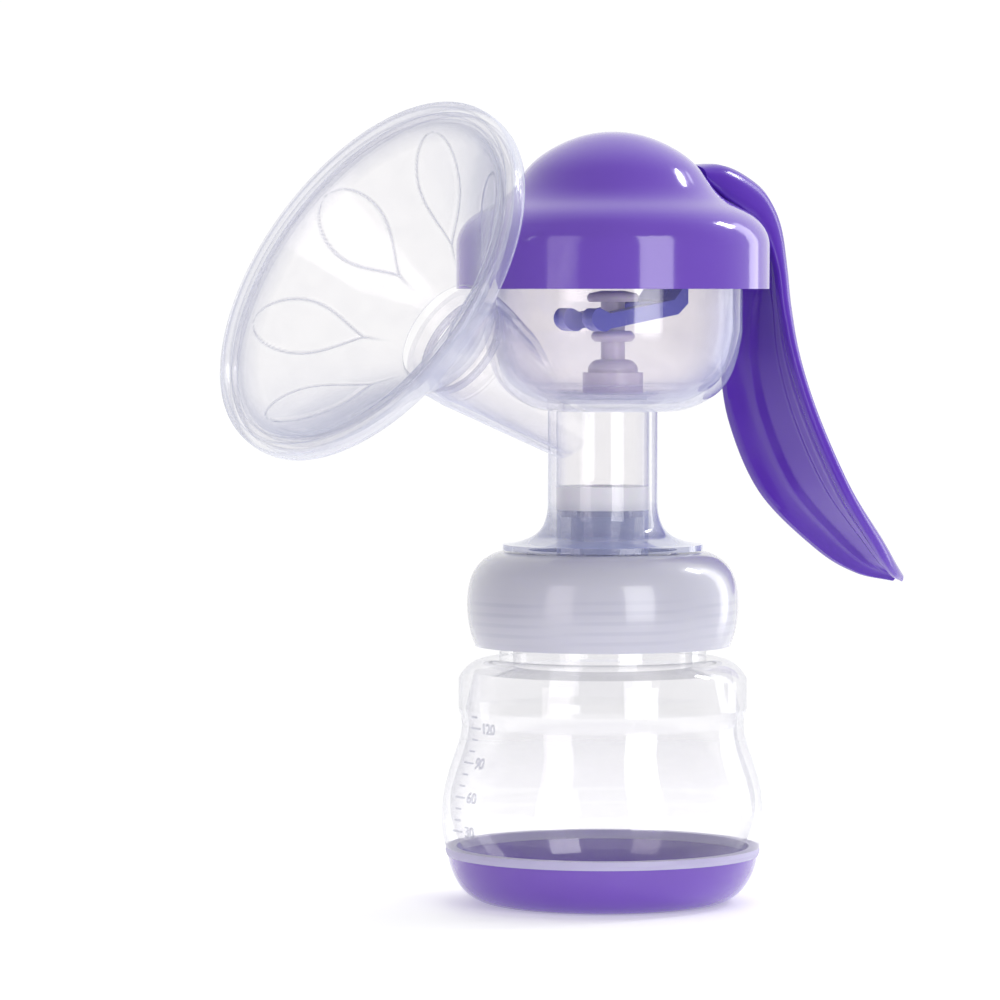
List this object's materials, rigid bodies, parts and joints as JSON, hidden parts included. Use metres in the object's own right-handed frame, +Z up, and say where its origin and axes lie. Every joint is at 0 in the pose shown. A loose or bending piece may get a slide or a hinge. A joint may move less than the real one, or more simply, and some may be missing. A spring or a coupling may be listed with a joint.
{
  "type": "manual breast pump",
  "caption": "One-hand breast pump: tilted clear funnel with a soft cushion, clear bowl and neck, domed cap with a squeeze handle, screw collar and a small bottle.",
  "frame": {"origin": "centre of the flat underside of the bottle's base", "axes": "+Z up along the bottle and neck; the funnel points to -X and up, the handle is on the +X side; symmetric about the XZ plane"},
  "size_m": [0.1854, 0.0908, 0.1841],
  "materials": {
    "bottle_clear": "clear moulded plastic",
    "base_purple": "gloss",
    "pale_ring": "satin silicone",
    "collar_frosted": "translucent, softly glossy",
    "body_clear": "clear moulded plastic",
    "seal_silicone": "satin silicone",
    "seat_white": "satin",
    "valve_silicone": "satin silicone",
    "funnel_clear": "clear moulded plastic",
    "cushion_silicone": "clear silicone",
    "cap_purple": "high gloss",
    "ring_white": "satin",
    "diaphragm_silicone": "bluish translucent silicone",
    "pin_steel": "ground",
    "handle_purple": "gloss",
    "fork_purple": "gloss",
    "stem_pale": "satin"
  },
  "bodies": {
    "bottle": {"bottle_shell": "bottle_clear", "bottle_base": "base_purple", "base_seal_ring": "pale_ring"},
    "head": {"pump_body": "body_clear", "bottle_gasket": "seal_silicone", "valve_seat": "seat_white", "duckbill_valve": "valve_silicone"},
    "collar": {"bottle_collar": "collar_frosted"},
    "shield": {"funnel": "funnel_clear", "funnel_seal_ring": "seal_silicone"},
    "cushion": {"massage_cushion": "cushion_silicone"},
    "cap_group": {"cap": "cap_purple", "clamp_ring": "ring_white", "cap_gasket": "seal_silicone", "diaphragm": "diaphragm_silicone", "pivot_pin": "pin_steel"},
    "lever": {"handle": "handle_purple", "lever_fork": "fork_purple"},
    "stem_group": {"stem": "stem_pale", "stem_head": "stem_pale", "stem_guide": "stem_pale"}
  },
  "joints": [
    {"name": "head_rise", "type": "slide", "parent": "bottle", "child": "head", "axis": [0, 0, 1], "range_m": [0, 0.006]},
    {"name": "collar_turn", "type": "hinge", "parent": "head", "child": "collar", "pos_m": [0, 0, 0.07], "axis": [0, 0, 1], "range_deg": [0, 541]},
    {"name": "funnel_pull", "type": "slide", "parent": "head", "child": "shield", "axis": [-0.8652, 0, 0.5015], "range_m": [0, 0.012]},
    {"name": "cushion_pull", "type": "slide", "parent": "shield", "child": "cushion", "axis": [-0.8652, 0, 0.5015], "range_m": [0, 0.02]},
    {"name": "cap_turn", "type": "hinge", "parent": "head", "child": "cap_group", "pos_m": [0.003, 0, 0.15], "axis": [0, 0, 1], "range_deg": [0, 40]},
    {"name": "handle_squeeze", "type": "hinge", "parent": "cap_group", "child": "lever", "pos_m": [0.0355, 0, 0.162], "axis": [0, 1, 0], "range_deg": [0, 18], "stiffness_Nm_per_rad": 0.6, "springref_deg": -5.73},
    {"name": "stem_lift", "type": "slide", "parent": "cap_group", "child": "stem_group", "axis": [0, 0, 1], "range_m": [0, 0.0104], "deforming": ["diaphragm"]}
  ],
  "couplings": [
    {"joint": "collar_turn", "follows": "head_rise", "rad_per_m": 1570.8},
    {"joint": "stem_lift", "follows": "handle_squeeze", "m_per_rad": 0.03277}
  ]
}
